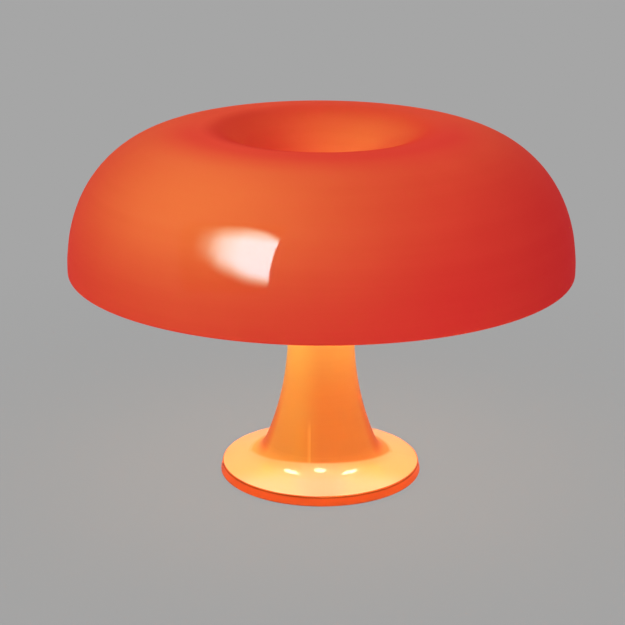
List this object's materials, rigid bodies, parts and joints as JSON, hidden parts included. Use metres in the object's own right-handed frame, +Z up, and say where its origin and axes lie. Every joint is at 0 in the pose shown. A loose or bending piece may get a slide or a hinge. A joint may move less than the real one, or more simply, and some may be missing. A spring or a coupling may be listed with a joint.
{
  "type": "table lamp",
  "caption": "Mushroom table lamp: domed translucent shade with a dimple, trumpet base, globe bulbs set level under the shade.",
  "frame": {"origin": "on the table, under the middle of the foot", "axes": "+Z up through the stem, +Y towards the cord inlet at the back"},
  "size_m": [0.32, 0.32, 0.2283],
  "materials": {
    "shade_plastic": "glossy translucent orange-red, lit from inside",
    "base_plastic": "glossy translucent orange",
    "bulb_glass": "frosted white, warm glow",
    "head_plastic": "satin ivory heat-proof moulding",
    "holder_body": "satin ivory thermoset",
    "brass": "satin, drawn",
    "nickel": "nickel-plated thin sheet",
    "insulator": "dark vitrite",
    "zinc_steel": "zinc plated",
    "cast_iron": "rough cast",
    "cover_plastic": "fine grained black",
    "rubber": "matt soft rubber",
    "seat_silicone": "soft pale silicone",
    "terminal_plastic": "polyamide",
    "lead_sheath": "silicone sheath"
  },
  "bodies": {
    "base": {"base_shell": "base_plastic", "ballast": "cast_iron", "base_cover": "cover_plastic", "foot_pads": "rubber", "cover_screws": "zinc_steel", "cord_grommet": "rubber", "centre_tube": "zinc_steel", "tube_nuts": "zinc_steel", "tube_washers": "zinc_steel", "head": "head_plastic", "holder_screws": "zinc_steel", "terminal_block": "terminal_plastic", "terminal_screw": "zinc_steel", "leads": "lead_sheath", "holder_1": "holder_body", "holder_sleeve_1": "brass", "holder_contact_1": "brass", "holder_2": "holder_body", "holder_sleeve_2": "brass", "holder_contact_2": "brass", "holder_3": "holder_body", "holder_sleeve_3": "brass", "holder_contact_3": "brass", "holder_4": "holder_body", "holder_sleeve_4": "brass", "holder_contact_4": "brass"},
    "bulb_1": {"bulb_cap_1": "nickel", "bulb_tip_1": "insulator", "bulb_glass_1": "bulb_glass"},
    "bulb_2": {"bulb_cap_2": "nickel", "bulb_tip_2": "insulator", "bulb_glass_2": "bulb_glass"},
    "bulb_3": {"bulb_cap_3": "nickel", "bulb_tip_3": "insulator", "bulb_glass_3": "bulb_glass"},
    "bulb_4": {"bulb_cap_4": "nickel", "bulb_tip_4": "insulator", "bulb_glass_4": "bulb_glass"},
    "shade": {"shade": "shade_plastic", "seat_ring": "seat_silicone"}
  },
  "joints": [
    {"name": "shade_lift", "type": "slide", "parent": "base", "child": "shade", "axis": [0, 0, 1], "range_m": [0, 0.06]},
    {"name": "bulb_1_out", "type": "slide", "parent": "base", "child": "bulb_1", "axis": [0, -1, 0], "range_m": [0, 0.028]},
    {"name": "bulb_2_out", "type": "slide", "parent": "base", "child": "bulb_2", "axis": [1, 0, 0], "range_m": [0, 0.028]},
    {"name": "bulb_3_out", "type": "slide", "parent": "base", "child": "bulb_3", "axis": [0, 1, 0], "range_m": [0, 0.028]},
    {"name": "bulb_4_out", "type": "slide", "parent": "base", "child": "bulb_4", "axis": [-1, 0, 0], "range_m": [0, 0.028]}
  ]
}
